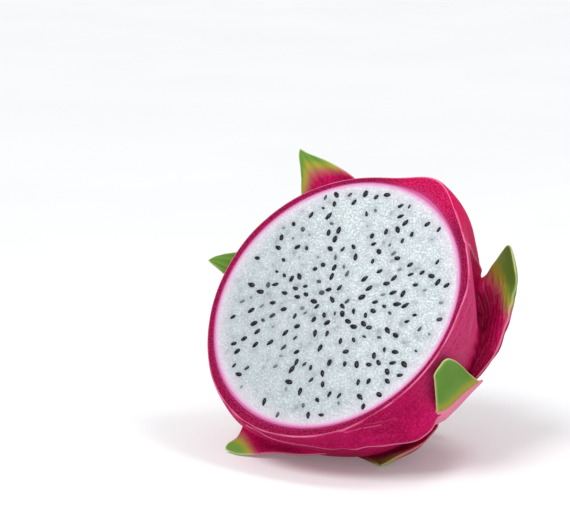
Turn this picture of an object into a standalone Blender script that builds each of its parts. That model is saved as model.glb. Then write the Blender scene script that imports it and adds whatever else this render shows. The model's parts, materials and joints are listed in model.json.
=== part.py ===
"""The stem half of a dragon fruit, cut crosswise and lying on its rounded side.

Everything is shaped in the fruit's own frame: the origin is the centre of the cut face, +Z points
out of that face, and the stem end is at the bottom. Angles round the axis start at +X. An empty
carries that frame and tips it back the way the half lies on a table, with the table at world Z = 0.
"""

import math
import random
from dataclasses import dataclass

import bmesh
import bpy
from mathutils import Vector

MM = 0.001

# Driving dimensions
SKIN_RADIUS = 46.7 * MM
SKIN_DEPTH = 52.5 * MM
PROFILE_POWER = 1.92
LOPSIDED = 0.6 * MM
FULLEST_ANGLE = 290.0
FLESH_RADIUS = 43.5 * MM
FLESH_DEPTH = 47.0 * MM
FIT_GAP = 0.3 * MM

# How the half lies: the lean of the face, its heading, and where its centre ends up
FACE_TILT = math.radians(51.9)
HEADING = math.radians(-36.1)
FACE_CENTRE = Vector((-8.29, -10.66, 50.6)) * MM

# Bracts, the fleshy scales of the skin
ROOT_SUNK = 3.0 * MM
MIDRIB_PULL = 0.4
BLADE_ROOT_WIDTH = 0.82
BLADE_TIP_WIDTH = 1.4 * MM
BLADE_EDGE = 0.9 * MM
WIDEST_AT = 0.3
SHOULDER_LOW = 0.5
SHOULDER_HIGH = 0.68
SWELL_SPREAD = 0.55
SWELL_BELOW_ROOT = 0.6
SWELL_ABOVE_ROOT = 0.4
SWELL_FADE = 16.0 * MM
LEAST_CLIMB = 5.0 * MM
LEAST_RADIUS = 10.0 * MM

# The skin falls in between the two bracts on the near side of the top
DENT_ANGLE = 30.0
DENT_HEIGHT = -20.0 * MM
DENT_SIZE = 11.0 * MM
DENT = 4.4 * MM

# Seeds on the cut face
SEED_COUNT = 205
SEED_SIZE = Vector((1.3, 0.76, 0.95)) * MM
SEED_TOP = 0.62
SEED_STANDS = 0.42 * MM
SEED_TAPER = 0.55
SEED_APART_MIDDLE = 2.3 * MM
SEED_APART_EDGE = 3.1 * MM
SEED_FIELD = 41.2 * MM
SEED_THINNING = 0.72
SEED_SWAY = math.radians(32.0)
SEED_DRAW = 11

# Stalk stub, standing in a socket at the stem end
STALK_RADIUS = 4.4 * MM
STALK_END_RADIUS = 3.6 * MM
SOCKET_FLOOR = -50.2 * MM
STALK_END = -63.0 * MM
STALK_SIDES = 14

# Fineness of the faceted solids
SKIN_SEGMENTS = 64
SKIN_RINGS = 36
FLESH_SEGMENTS = 40
FLESH_RINGS = 24
BLADE_COLUMNS = 6
BLADE_ROWS = 9
SEED_SIDES = 6


@dataclass
class Bract:
    """Root on the skin and free tip, in degrees and millimetres, and the blade between them."""

    name: str
    root_angle: float
    root_height: float
    tip_angle: float
    tip_radius: float
    tip_height: float
    flare: float
    width: float
    swell: float
    swell_top: float
    thick: float = 3.2
    lift: float = 10.0
    cup: float = 1.0
    fullness: float = 1.6
    shoulder: float = 1.0


BRACTS = (
    Bract("top", 118, -24, 126, 67.6, -3.5, 82, 24, 1.0, -12, cup=2.0, fullness=1.15),
    Bract("left", 168, -22, 171, 58.2, -3.5, 74, 18, 1.0, -10, cup=1.5, fullness=1.3),
    Bract("front_low", 262, -30, 240, 58.8, -15.5, 78, 24, 3.2, -3, fullness=1.1),
    Bract("under", 302, -43, 297, 48.0, -25.5, 34, 30, 2.2, -18, fullness=1.4),
    Bract("near_side", 334, -38, 343, 49.2, -0.8, -6, 24, 1.0, -20, 2.6, 22, 0.8, 3.2),
    Bract("right", 13, -40, 39, 56.6, -17.0, 24, 29, 3.0, -25, 6.5, 16, 1.2, 1.9, 0.62),
    Bract("knifed", 50, -34, 71, 51.0, 8.0, 4, 20, 4.6, 24, thick=5.0, fullness=2.6),
    Bract("back_high", 88, -44, 84, 54.5, -21.0, 42, 20, 1.4, -26),
    Bract("back_middle", 140, -46, 147, 54.0, -25.0, 46, 19, 1.4, -30),
    Bract("back_left", 204, -40, 197, 54.5, -17.0, 40, 20, 1.4, -22),
    Bract("stem_left", 243, -51, 246, 29.0, -51.0, 84, 14, 0.5, -45),
    Bract("stem_right", 303, -51, 300, 31.0, -51.0, 84, 14, 0.5, -45),
    Bract("stem_near", 8, -51, 2, 27.0, -49.5, 78, 12, 0.5, -45),
    Bract("stem_high", 82, -51, 86, 26.0, -50.0, 80, 12, 0.5, -45),
    Bract("stem_back", 160, -51, 158, 27.5, -50.0, 80, 12, 0.5, -45),
)


def smooth_step(low, high, value):
    t = min(max((value - low) / (high - low), 0.0), 1.0)
    return t * t * (3.0 - 2.0 * t)


def turn_between(a, b):
    """The signed angle from b to a, in degrees, the short way round."""
    return (a - b + 180.0) % 360.0 - 180.0


def polar(angle, radius, height):
    a = math.radians(angle)
    return Vector((radius * math.cos(a), radius * math.sin(a), height))


def profile_radius(height, radius, depth):
    """Radius of the plain rounded shape at a height, which is at most depth from the cut."""
    reach = min(abs(height) / depth, 1.0)
    return radius * (1.0 - reach**PROFILE_POWER) ** (1.0 / PROFILE_POWER)


def profile_at(latitude, radius, depth):
    """Radius and height at a latitude, from 0 at the cut to a quarter turn at the stem end."""
    e = 2.0 / PROFILE_POWER
    fall = math.copysign(abs(math.sin(latitude)) ** e, latitude)
    return radius * abs(math.cos(latitude)) ** e, -depth * fall


def swell_at(angle, height):
    """How far the bracts' fleshy bases lift the skin at a place."""
    radius = max(profile_radius(height, SKIN_RADIUS, SKIN_DEPTH), LEAST_RADIUS)
    across = math.radians(turn_between(angle, DENT_ANGLE)) * radius
    away = math.hypot(across, height - DENT_HEIGHT)
    lift = -DENT * math.exp(-((away / DENT_SIZE) ** 2))
    for b in BRACTS:
        root = b.root_height * MM
        top = b.swell_top * MM
        width = b.width * MM
        climb = max(b.tip_height * MM - root, LEAST_CLIMB)
        along = min(max((height - root) / climb, 0.0), 1.0)
        centre = b.root_angle + turn_between(b.tip_angle, b.root_angle) * along
        across = math.radians(turn_between(angle, centre)) * radius
        shape = math.exp(-((across / (width * SWELL_SPREAD)) ** 2))
        shape *= smooth_step(
            root - width * SWELL_BELOW_ROOT, root + width * SWELL_ABOVE_ROOT, height
        )
        shape *= 1.0 - smooth_step(top - SWELL_FADE / 2.0, top + SWELL_FADE / 2.0, height)
        lift += b.swell * MM * shape
    return lift


def skin_point(angle, latitude):
    radius, height = profile_at(latitude, SKIN_RADIUS, SKIN_DEPTH)
    lean = LOPSIDED * math.cos(math.radians(angle - FULLEST_ANGLE)) * radius / SKIN_RADIUS
    lift = swell_at(angle, height)
    radius += lean + lift * math.cos(latitude)
    return polar(angle, radius, height - lift * math.sin(latitude))


def blade_width(bract, s):
    """Width of a blade at s, from 0 at the root to 1 at the tip."""
    full = bract.width * MM
    if s < WIDEST_AT:
        grown = math.sin(s / WIDEST_AT * math.pi / 2.0)
        return full * (BLADE_ROOT_WIDTH + (1.0 - BLADE_ROOT_WIDTH) * grown)
    full *= 1.0 - (1.0 - bract.shoulder) * smooth_step(SHOULDER_LOW, SHOULDER_HIGH, s)
    u = (s - WIDEST_AT) / (1.0 - WIDEST_AT)
    return BLADE_TIP_WIDTH + (full - BLADE_TIP_WIDTH) * (1.0 - u**bract.fullness)


def midrib(bract, s):
    """Point of a blade's midrib: a cubic curve in the plane through the axis, drifting round it."""
    root_height = bract.root_height * MM
    skin = profile_radius(root_height, SKIN_RADIUS, SKIN_DEPTH)
    reached = abs(root_height) / SKIN_DEPTH
    slope = SKIN_RADIUS / SKIN_DEPTH * (reached * SKIN_RADIUS / skin) ** (PROFILE_POWER - 1.0)
    out_of_skin = Vector((1.0, -slope)).normalized()
    up_skin = Vector((slope, 1.0)).normalized()
    start = Vector((skin, root_height)) - out_of_skin * ROOT_SUNK
    end = Vector((bract.tip_radius, bract.tip_height)) * MM
    reach = (end - start).length
    lift = math.radians(bract.lift)
    leave = up_skin * math.cos(lift) + out_of_skin * math.sin(lift)
    flare = math.radians(bract.flare)
    arrive = Vector((math.sin(flare), math.cos(flare)))
    a = start + leave * reach * MIDRIB_PULL
    b = end - arrive * reach * MIDRIB_PULL
    t = 1.0 - s
    flat = start * t**3 + a * 3 * t * t * s + b * 3 * t * s * s + end * s**3
    drift = turn_between(bract.tip_angle, bract.root_angle) * smooth_step(0.0, 1.0, s)
    return polar(bract.root_angle + drift, flat.x, flat.y)


def blade_thickness(bract, s, x):
    return BLADE_EDGE + (bract.thick * MM - BLADE_EDGE) * (1.0 - s * s) * (1.0 - x**4)


def blade_point(bract, s, x):
    """Point of a blade's middle surface, with x from -1 to 1 across it."""
    step = 0.01
    here = midrib(bract, s)
    ahead = midrib(bract, min(s + step, 1.0)) - midrib(bract, max(s - step, 0.0))
    along = ahead.normalized()
    round_axis = Vector((-here.y, here.x, 0.0))
    side = (round_axis - along * round_axis.dot(along)).normalized()
    out = side.cross(along)
    half = blade_width(bract, s) / 2.0
    bend = bract.cup * (x * half) ** 2 / (2.0 * SKIN_RADIUS)
    return here + side * half * x - out * bend


def new_object(name, mesh, collection, parent=None, material=None):
    made = bpy.data.objects.new(name, mesh)
    collection.objects.link(made)
    made.parent = parent
    if material:
        mesh.materials.append(material)
    return made


def mesh_from(name, bm):
    mesh = bpy.data.meshes.new(name)
    bm.to_mesh(mesh)
    bm.free()
    return mesh


def new_collection(name, hidden=False):
    made = bpy.data.collections.new(name)
    bpy.context.scene.collection.children.link(made)
    made.hide_render = hidden
    return made


def new_material(name, colour, roughness):
    made = bpy.data.materials.new(name)
    made.use_nodes = True
    shader = made.node_tree.nodes["Principled BSDF"]
    shader.inputs["Base Color"].default_value = (*colour, 1.0)
    shader.inputs["Roughness"].default_value = roughness
    shader.inputs["Metallic"].default_value = 0.0
    return made


def rounded_mesh(name, segments, rings, place):
    """A UV sphere whose points are moved to place(angle, latitude)."""
    bm = bmesh.new()
    bmesh.ops.create_uvsphere(bm, u_segments=segments, v_segments=rings, radius=1.0)
    for v in bm.verts:
        latitude = math.asin(max(-1.0, min(1.0, -v.co.z)))
        angle = math.degrees(math.atan2(v.co.y, v.co.x)) % 360.0
        v.co = place(angle, latitude)
    return mesh_from(name, bm)


def blade_object(bract, collection, parent, material):
    """One bract: an open sheet with Solidify, thinner to the tip and the edges."""
    bm = bmesh.new()
    bmesh.ops.create_grid(bm, x_segments=BLADE_COLUMNS, y_segments=BLADE_ROWS, size=1.0)
    full = bract.thick * MM
    weights = []
    for v in bm.verts:
        x = v.co.x
        s = (v.co.y + 1.0) / 2.0
        v.co = blade_point(bract, s, x)
        weights.append(blade_thickness(bract, s, x) / full)
    made = new_object(bract.name, mesh_from(bract.name, bm), collection, parent, material)
    group = made.vertex_groups.new(name="fullness")
    for index, weight in enumerate(weights):
        group.add([index], weight, "REPLACE")
    solid = made.modifiers.new("thickness", "SOLIDIFY")
    solid.thickness = full
    solid.offset = 0.0
    solid.vertex_group = group.name
    return made


def box_object(name, centre, size, collection, parent=None):
    bm = bmesh.new()
    bmesh.ops.create_cube(bm, size=size)
    bmesh.ops.translate(bm, verts=bm.verts, vec=centre)
    return as_cutter(new_object(name, mesh_from(name, bm), collection, parent))


def as_cutter(obj):
    obj.hide_render = True
    obj.display_type = "WIRE"
    return obj


def add_boolean(obj, name, operation, operand):
    made = obj.modifiers.new(name, "BOOLEAN")
    made.operation = operation
    made.solver = "EXACT"
    made.material_mode = "TRANSFER"
    if isinstance(operand, bpy.types.Collection):
        made.operand_type = "COLLECTION"
        made.collection = operand
    else:
        made.object = operand


def apply_modifiers(obj):
    graph = bpy.context.evaluated_depsgraph_get()
    made = bpy.data.meshes.new_from_object(obj.evaluated_get(graph))
    obj.modifiers.clear()
    obj.data = made


def remove_collection(collection):
    for obj in list(collection.objects):
        bpy.data.objects.remove(obj, do_unlink=True)
    bpy.data.collections.remove(collection)


def seed_places():
    """Seeded random places on the face, thinning outwards and never too close, with their turns."""
    draw = random.Random(SEED_DRAW)
    places = []
    while len(places) < SEED_COUNT:
        out = math.sqrt(draw.random())
        if draw.random() < SEED_THINNING * out:
            continue
        turn = draw.uniform(0.0, math.tau)
        spot = Vector((math.cos(turn), math.sin(turn))) * out * SEED_FIELD
        apart = SEED_APART_MIDDLE + (SEED_APART_EDGE - SEED_APART_MIDDLE) * out
        if all((spot - other).length > apart for other, _ in places):
            places.append((spot, turn + draw.gauss(0.0, SEED_SWAY)))
    return places


def seed_mesh():
    """A drop-shaped plug with few sides: the lower part is its root in the flesh."""
    bm = bmesh.new()
    bmesh.ops.create_cone(
        bm, cap_ends=True, segments=SEED_SIDES, radius1=1.0, radius2=SEED_TOP, depth=2.0
    )
    for v in bm.verts:
        v.co.y *= 1.0 - (1.0 - SEED_TAPER) * (v.co.x + 1.0) / 2.0
        v.co = Vector((v.co.x * SEED_SIZE.x, v.co.y * SEED_SIZE.y, v.co.z * SEED_SIZE.z))
    return mesh_from("seed", bm)


def build_flesh(fruit, frame, knife):
    def place(angle, latitude):
        radius, height = profile_at(latitude, FLESH_RADIUS, FLESH_DEPTH)
        return polar(angle, radius, height)

    white = new_material("flesh_white", (0.80, 0.84, 0.86), 0.35)
    black = new_material("seed_black", (0.012, 0.012, 0.013), 0.3)
    mesh = rounded_mesh("flesh", FLESH_SEGMENTS, FLESH_RINGS, place)
    flesh = new_object("flesh", mesh, fruit, frame, white)
    seeds = new_collection("seeds", hidden=True)
    shape = seed_mesh()
    shape.materials.append(black)
    for number, (spot, turn) in enumerate(seed_places()):
        seed = new_object(f"seed_{number:03d}", shape, seeds, frame)
        seed.location = (spot.x, spot.y, SEED_STANDS - SEED_SIZE.z)
        seed.rotation_euler = (0.0, 0.0, turn)
    add_boolean(flesh, "cut in half", "DIFFERENCE", knife)
    add_boolean(flesh, "seeds", "UNION", seeds)
    apply_modifiers(flesh)
    remove_collection(seeds)
    return flesh


def build_rind(fruit, frame, cutters, knife, table):
    def cavity(angle, latitude):
        radius, height = profile_at(latitude, FLESH_RADIUS + FIT_GAP, FLESH_DEPTH + FIT_GAP)
        return polar(angle, radius, height)

    pink = new_material("rind_pink", (0.50, 0.020, 0.105), 0.42)
    mesh = rounded_mesh("rind", SKIN_SEGMENTS, SKIN_RINGS, skin_point)
    rind = new_object("rind", mesh, fruit, frame, pink)
    blades = new_collection("blades", hidden=True)
    for bract in BRACTS:
        blade_object(bract, blades, frame, pink)
    add_boolean(rind, "bracts", "UNION", blades)
    apply_modifiers(rind)
    remove_collection(blades)
    hollow = new_object(
        "hollow", rounded_mesh("hollow", FLESH_SEGMENTS, FLESH_RINGS, cavity), cutters, frame
    )
    add_boolean(rind, "cut in half", "DIFFERENCE", knife)
    add_boolean(rind, "room for the flesh", "DIFFERENCE", as_cutter(hollow))
    add_boolean(rind, "stalk socket", "DIFFERENCE", stalk_socket(cutters, frame))
    add_boolean(rind, "flat where it rests", "DIFFERENCE", table)
    return rind


def upright_cone(name, low_radius, high_radius, low, high, collection, parent, material=None):
    bm = bmesh.new()
    bmesh.ops.create_cone(
        bm,
        cap_ends=True,
        segments=STALK_SIDES,
        radius1=low_radius,
        radius2=high_radius,
        depth=high - low,
    )
    bmesh.ops.translate(bm, verts=bm.verts, vec=(0.0, 0.0, (low + high) / 2.0))
    return new_object(name, mesh_from(name, bm), collection, parent, material)


def stalk_socket(cutters, frame):
    wide = STALK_RADIUS + FIT_GAP
    return as_cutter(
        upright_cone("socket", wide, wide, STALK_END, SOCKET_FLOOR, cutters, frame)
    )


def build_stalk(fruit, frame):
    olive = new_material("stalk_olive", (0.13, 0.11, 0.035), 0.75)
    top = SOCKET_FLOOR - FIT_GAP
    return upright_cone(
        "stalk", STALK_END_RADIUS, STALK_RADIUS, STALK_END, top, fruit, frame, olive
    )


def main():
    for obj in list(bpy.data.objects):
        bpy.data.objects.remove(obj, do_unlink=True)
    fruit = new_collection("dragon_fruit_half")
    cutters = new_collection("cutters", hidden=True)
    frame = bpy.data.objects.new("fruit_frame", None)
    fruit.objects.link(frame)
    frame.location = FACE_CENTRE
    frame.rotation_euler = (FACE_TILT, 0.0, HEADING)
    slab = 4.0 * SKIN_RADIUS
    knife = box_object("knife", (0.0, 0.0, slab / 2.0), slab, cutters, frame)
    table = box_object("table", (0.0, 0.0, -slab / 2.0), slab, cutters)
    build_rind(fruit, frame, cutters, knife, table)
    build_flesh(fruit, frame, knife)
    build_stalk(fruit, frame)
    bpy.context.view_layer.update()


main()
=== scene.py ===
"""Half a dragon fruit, lying on its rounded side on a pale floor: finished surfaces and studio."""

import json
import math
import random
from dataclasses import dataclass

import bmesh
import bpy
import numpy as np
from mathutils import Euler, Matrix, Vector, kdtree, noise

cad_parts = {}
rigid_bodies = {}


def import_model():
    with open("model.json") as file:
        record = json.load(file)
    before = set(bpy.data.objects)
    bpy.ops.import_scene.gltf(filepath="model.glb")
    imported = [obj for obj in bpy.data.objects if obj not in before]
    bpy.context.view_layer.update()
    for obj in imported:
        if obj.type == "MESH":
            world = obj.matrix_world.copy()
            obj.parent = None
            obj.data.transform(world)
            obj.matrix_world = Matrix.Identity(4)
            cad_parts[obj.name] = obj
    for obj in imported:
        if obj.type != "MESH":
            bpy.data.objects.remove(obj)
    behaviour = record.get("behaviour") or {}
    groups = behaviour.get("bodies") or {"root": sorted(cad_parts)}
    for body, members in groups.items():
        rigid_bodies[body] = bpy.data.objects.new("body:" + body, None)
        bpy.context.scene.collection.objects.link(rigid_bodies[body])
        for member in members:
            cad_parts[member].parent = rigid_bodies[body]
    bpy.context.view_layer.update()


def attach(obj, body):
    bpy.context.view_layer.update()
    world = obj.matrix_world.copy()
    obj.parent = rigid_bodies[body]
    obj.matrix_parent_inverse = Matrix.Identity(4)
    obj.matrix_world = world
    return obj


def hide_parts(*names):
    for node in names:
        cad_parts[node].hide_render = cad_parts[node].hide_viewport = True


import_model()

MM = 0.001

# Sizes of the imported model, in the fruit's own frame: origin at the centre of the cut, +Z out of it
SKIN_RADIUS = 46.7 * MM
SKIN_DEPTH = 52.5 * MM
PROFILE_POWER = 1.92
LOPSIDED = 0.6 * MM
FULLEST_ANGLE = 290.0
FLESH_RADIUS = 43.5 * MM
FLESH_DEPTH = 47.0 * MM
FIT_GAP = 0.3 * MM
FACE_TILT = math.radians(51.9)
HEADING = math.radians(-36.1)
FACE_CENTRE = Vector((-8.29, -10.66, 50.6)) * MM
FRUIT = Matrix.Translation(FACE_CENTRE) @ Euler((FACE_TILT, 0.0, HEADING)).to_matrix().to_4x4()

# How a bract leaves the skin, narrows, and swells the skin at its base
ROOT_SUNK = 3.0 * MM
MIDRIB_PULL = 0.4
BLADE_ROOT_WIDTH = 0.82
BLADE_TIP_WIDTH = 1.4 * MM
BLADE_EDGE = 0.9 * MM
WIDEST_AT = 0.3
BLADE_FULLNESS = 1.6
SWELL_SPREAD = 0.55
SWELL_BELOW_ROOT = 0.6
SWELL_ABOVE_ROOT = 0.4
SWELL_FADE = 16.0 * MM
LEAST_CLIMB = 5.0 * MM
LEAST_RADIUS = 10.0 * MM
# Broad swellings and hollows of the body: angle, height, size, and how high, in millimetres
SWELLINGS = (
    (30, -20, 11, -4.4),
    (27, -30, 10.5, -1.8),
    (58, -9, 12, 1.5),
)
# How far the cut edge lies outside a plain round, in millimetres, by angle
EDGE_SHIFT = (
    (5, -1.1), (16, 0.6), (46, 0.8), (60, 0.2), (72, 0.6), (80, 0.1), (110, 0),
    (130, 0.5), (157, 0.6), (172, 0.1), (200, -0.2), (222, 0.3), (241, 0), (256, 0.6),
    (282, 0), (298, -0.4), (316, -1.5), (335, -1.7), (350, -1.5),
)
EDGE_EASE = 4.0 * np.linspace(-1.0, 1.0, 7)
EDGE_DEPTH = 10.0 * MM
# Hollows deeper than this are eased, so that the rind keeps its thickness over the flesh
HOLLOW_FREE = 1.3 * MM
HOLLOW_ROOM = 0.7 * MM

# The seeds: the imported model's rule for their places, and their finished shape
SEED_COUNT = 205
SEED_HALF = Vector((1.68, 1.03, 0.80)) * MM
SEED_STANDS = 0.42 * MM
SEED_APART_MIDDLE = 2.3 * MM
SEED_APART_EDGE = 3.1 * MM
SEED_FIELD = 41.2 * MM
SEED_THINNING = 0.72
SEED_SWAY = math.radians(32.0)
SEED_DRAW = 11
SEED_RINGS = 11
SEED_SIDES = 14
GHOST_SEEDS = 80

STALK_RADIUS = 4.4 * MM
STALK_END_RADIUS = 3.6 * MM
SOCKET_FLOOR = -50.2 * MM
STALK_END = -63.0 * MM
STALK_SIDES = 72
STALK_ROWS = 20
STALK_END_RINGS = (0.72, 0.4, 0.12)

# Fineness of the meshes
SKIN_COLUMNS = 340
SKIN_ROWS = 140
PLAIN_BLADE_COLUMNS = 14
PLAIN_BLADE_ROWS = 22
RING_ROWS = 10
RING_GRAIN = 0.07 * MM
RING_GRAINS_PER_METRE = 900.0
RING_DIP = 0.05 * MM
CAVITY_ROWS = 14
FLESH_COLUMNS = 320
FLESH_ROWS = 96

# Soft joins, margins and edges
TIP_ROUNDS_AT = 0.93
TIP_CROWDING = 1.25
MARGIN_CROWDING = math.radians(85.0)
# Width of the painted highlight along a blade's edge, and how it fades towards the tip
MARGIN_FADE = 0.5 * MM
MARGIN_FADE_AT_TIP = 22.0 * MM
GRAIN_LENGTH = 30.0 * MM
BLADE_STEP = 0.01
TUCK_EASE = 0.12
FOLD_EASE = 0.08
# Strength of the painted highlight on a blade's fold crests
FOLD_CREST_HIGHLIGHT = 0.62
WIDEST_BLEND = 7.0
JOIN_PASSES = 40
JOIN_PULL = 0.6
JOIN_CORE = 0.3
RIM_ROUNDING = 0.4 * MM
RIM_HEIGHT = 0.8 * MM
RIM_LATITUDES = (-9, -4.5, -1.6, -0.6, 0, 0.2, 0.4, 0.6, 0.8, 1, 1.5, 2.4)
NO_GREEN = -1.0

# The long front bract's free margin: its angle, height, stand off the skin, and width up to its root
LIP = (
    (251, -0.6, 0.1, 0.8), (255.5, -1, 0.3, 1.4), (260, -1.9, 0.5, 2), (264, -2.9, 0.7, 2.6),
    (268.3, -4.1, 0.8, 3.6), (272.3, -5.2, 0.9, 4.4), (276.8, -5.8, 1, 5), (282.3, -7.3, 1, 6),
    (286.8, -9.5, 1, 7.5), (291, -11.3, 1.2, 8.5), (295.5, -11.9, 1.6, 9), (300.8, -11.9, 2.2, 9.5),
    (306, -12.8, 3, 10), (310.8, -14.1, 4, 11), (314, -16.3, 5, 13),
    (317.3, -16.7, 5.6, 13), (320.3, -16.9, 5.6, 13), (323.3, -16.1, 5.4, 12.5),
    (326, -16.1, 5, 12.5), (331, -16.5, 3.8, 12), (336, -18, 2, 11),
)
LIP_HIGHEST = -0.8
LIP_EASE = 0.035 * np.linspace(-1.0, 1.0, 9)
LIP_ROWS = 220
LIP_COLUMNS = 14
LIP_SUNK = 1.0 * MM
LIP_EDGE = 0.8 * MM
LIP_BODY = 1.2 * MM
LIP_BLEND = 3.0
LIP_WAVE = 0.22 * MM

# Relief that only the finished skin has: fine folds
CREASES = (
    (0.60, ((297, -0.8), (304, -2.3), (307.5, -4.4), (310, -5.4))),
    (0.45, ((305.5, -1.2), (309, -3.2), (313, -5.4), (317, -6.8))),
    (0.35, ((312, -1.4), (315.5, -4), (319.5, -6.6))),
    (0.35, ((288, -9.2), (294, -9.6), (299, -8.4), (304, -8))),
    (0.75, ((34.5, -0.6), (38.5, -6), (41.8, -11.4), (45, -20), (46.5, -28))),
    (0.30, ((248, -9), (256, -11.5), (270, -13), (282, -13.2))),
    (0.25, ((300, -9), (308, -11), (318, -16))),
)
CREASE_WIDTH = 0.7 * MM
CREST_WIDTH = 0.55 * MM
CRUMPLE_ANGLE = 4.0
CRUMPLE_HEIGHT = -26.0 * MM
CRUMPLE_SIZE = 9.0 * MM
CRUMPLE_WAVE = 0.75 * MM
CRUMPLE = 0.35 * MM


@dataclass
class Bract:
    """A scale of the skin, in degrees and millimetres.

    Its root, tip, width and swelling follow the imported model. The rest is its finished blade:
    where its green begins and how that line runs, its folds, tucked margin and pale base.
    """

    name: str
    root_angle: float
    root_height: float
    tip_angle: float
    tip_radius: float
    tip_height: float
    flare: float
    width: float
    swell: float
    swell_top: float
    thick: float = 3.2
    lift: float = 10.0
    cup: float = 1.0
    green: float = 0.66
    green_margin: float = 0.2
    green_lean: float = 0.0
    green_pace: float = 1.0
    folds: float = 0.25
    fold_waves: float = 9.0
    fold_slant: float = 0.0
    fold_end: float = 1.2
    bulge: float = 0.0
    blend: float = 2.8
    reach: float = 1.0
    tuck: float = 0.0
    tuck_to: float = 0.58
    pale: float = 0.0
    rows: int = 50
    columns: int = 36


BRACTS = (
    Bract("top", 118, -24, 126, 67.6, -3.5, 82, 24, 1.0, -12, cup=2.0, green=0.74),
    Bract("left", 168, -22, 171, 58.2, -3.5, 74, 18, 1.0, -10, cup=1.5, green=0.5),
    Bract("front_low", 262, -30, 240, 58.8, -15.5, 78, 24, 3.2, -3, green=0.79,
          green_margin=0.0, green_lean=0.10, green_pace=1.7, blend=7.0),
    Bract("under", 302, -43, 297, 48.0, -25.5, 34, 30, 2.2, -18, green=0.84,
          green_margin=0.04, reach=0.94),
    Bract("near_side", 334, -38, 343, 48.4, -0.7, -6, 24, 1.0, -20, 2.6, 22, 0.8, green=0.59,
          green_margin=0.0, green_pace=1.4, bulge=1.3, folds=0.1, reach=1.05, tuck=-3.2,
          tuck_to=0.7, pale=1.0),
    Bract("right", 13, -40, 39, 56.6, -17.0, 24, 29, 3.0, -25, 4.2, 16, 1.2, green=0.64,
          green_margin=0.02, green_lean=-0.10, green_pace=1.4, folds=0.75, fold_waves=25.0, fold_slant=2.8,
          fold_end=0.66, tuck=4.0, rows=110, columns=80),
    Bract("back_high", 88, -44, 84, 54.5, -21.0, 42, 20, 1.4, -26),
    Bract("back_middle", 140, -46, 147, 54.0, -25.0, 46, 19, 1.4, -30),
    Bract("back_left", 204, -40, 197, 54.5, -17.0, 40, 20, 1.4, -22),
    Bract("stem_left", 243, -51, 246, 29.0, -51.0, 84, 14, 0.5, -45),
    Bract("stem_right", 303, -51, 300, 31.0, -51.0, 84, 14, 0.5, -45),
    Bract("stem_near", 8, -51, 2, 27.0, -49.5, 78, 12, 0.5, -45),
    Bract("stem_high", 82, -51, 86, 26.0, -50.0, 80, 12, 0.5, -45),
    Bract("stem_back", 160, -51, 158, 27.5, -50.0, 80, 12, 0.5, -45),
)

# The bract that the knife went through: only its fleshy base is left, as a shoulder of the body
SHOULDER = Bract("shoulder", 50, -34, 71, 51.0, 8.0, 4, 20, 4.6, 24)

# Uneven outlines of the bracts in front: how far along, then millimetres to the low side and the high
OUTLINES = {
    "top": (
        (0, 9.8, 9.8), (0.3, 12, 12), (0.42, 11.4, 11.4), (0.54, 9.6, 9.4), (0.65, 7.8, 7),
        (0.75, 6.1, 4.3), (0.85, 4, 2.4), (0.94, 1.6, 1.3), (1, 0.3, 0.3),
    ),
    "left": (
        (0, 7.4, 7.4), (0.3, 9, 8), (0.55, 8, 4.8), (0.65, 6.9, 3.6), (0.75, 5.6, 2.5),
        (0.85, 4.2, 1.5), (0.94, 2.4, 0.8), (1, 0.4, 0.3),
    ),
    "front_low": (
        (0, 9.8, 17.5), (0.13, 11, 18), (0.2, 12, 15.6), (0.3, 12, 12.5), (0.36, 12, 9.6),
        (0.42, 12, 7.2), (0.5, 12, 6), (0.66, 11.8, 5.9), (0.77, 11.4, 5.3), (0.8, 8.6, 5.1),
        (0.815, 4.9, 5), (0.835, 2.7, 4.8), (0.9, 1.9, 4.1), (0.95, 1.6, 2.8), (1, 0.6, 0.6),
    ),
    "under": (
        (0, 13, 14), (0.3, 17, 18), (0.48, 17, 18), (0.6, 14.7, 15.6), (0.7, 10.7, 14.4),
        (0.75, 8.7, 13.6), (0.8, 6.6, 5.4), (0.85, 4.5, 3.4), (0.92, 2, 2.2), (1, 0.3, 0.4),
    ),
    "near_side": (
        (0, 9, 11), (0.2, 9.7, 11.3), (0.37, 9.7, 11.8), (0.47, 10, 10.6), (0.55, 10, 8.6),
        (0.63, 9.6, 6.4), (0.72, 8.9, 5.1), (0.8, 7.9, 4.6), (0.88, 6.4, 3.8), (0.93, 5.1, 2.9),
        (0.956, 4.7, 2.2), (0.986, 4.1, 1.2), (1, 3, 0.7),
    ),
    "right": (
        (0, 16, 12), (0.19, 21.5, 13.5), (0.26, 17.4, 14), (0.33, 15.4, 14.2),
        (0.385, 10.8, 14.4), (0.44, 9.7, 14.6), (0.54, 7.2, 14.6), (0.61, 6.7, 14.2), (0.66, 7.3, 12.2),
        (0.75, 8.7, 10.8), (0.84, 8.3, 7.6), (0.93, 5.2, 4), (0.97, 2.8, 2.3), (1, 0.4, 0.4),
    ),
}
OUTLINE_EASE = 0.009 * np.linspace(-2.0, 2.0, 9)
# Bracts that would come nearer to the knife's plane than this are eased back under it
CUT_NEAR = 1.9 * MM
CUT_ROOM = 1.5 * MM


def smooth_step(low, high, value):
    t = np.clip((np.asarray(value) - low) / (high - low), 0.0, 1.0)
    return t * t * (3.0 - 2.0 * t)


def turn_between(a, b):
    """The angle from b to a, in degrees, the short way round."""
    return (a - b + 180.0) % 360.0 - 180.0


def polar(angle, radius, height):
    a = np.radians(angle)
    return np.stack(np.broadcast_arrays(radius * np.cos(a), radius * np.sin(a), height), -1)


def profile_radius(height, radius, depth):
    reach = np.minimum(np.abs(height) / depth, 1.0)
    return radius * (1.0 - reach**PROFILE_POWER) ** (1.0 / PROFILE_POWER)


def profile_at(latitude, radius, depth):
    e = 2.0 / PROFILE_POWER
    fall = np.copysign(np.abs(np.sin(latitude)) ** e, latitude)
    return radius * np.abs(np.cos(latitude)) ** e, -depth * fall


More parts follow.
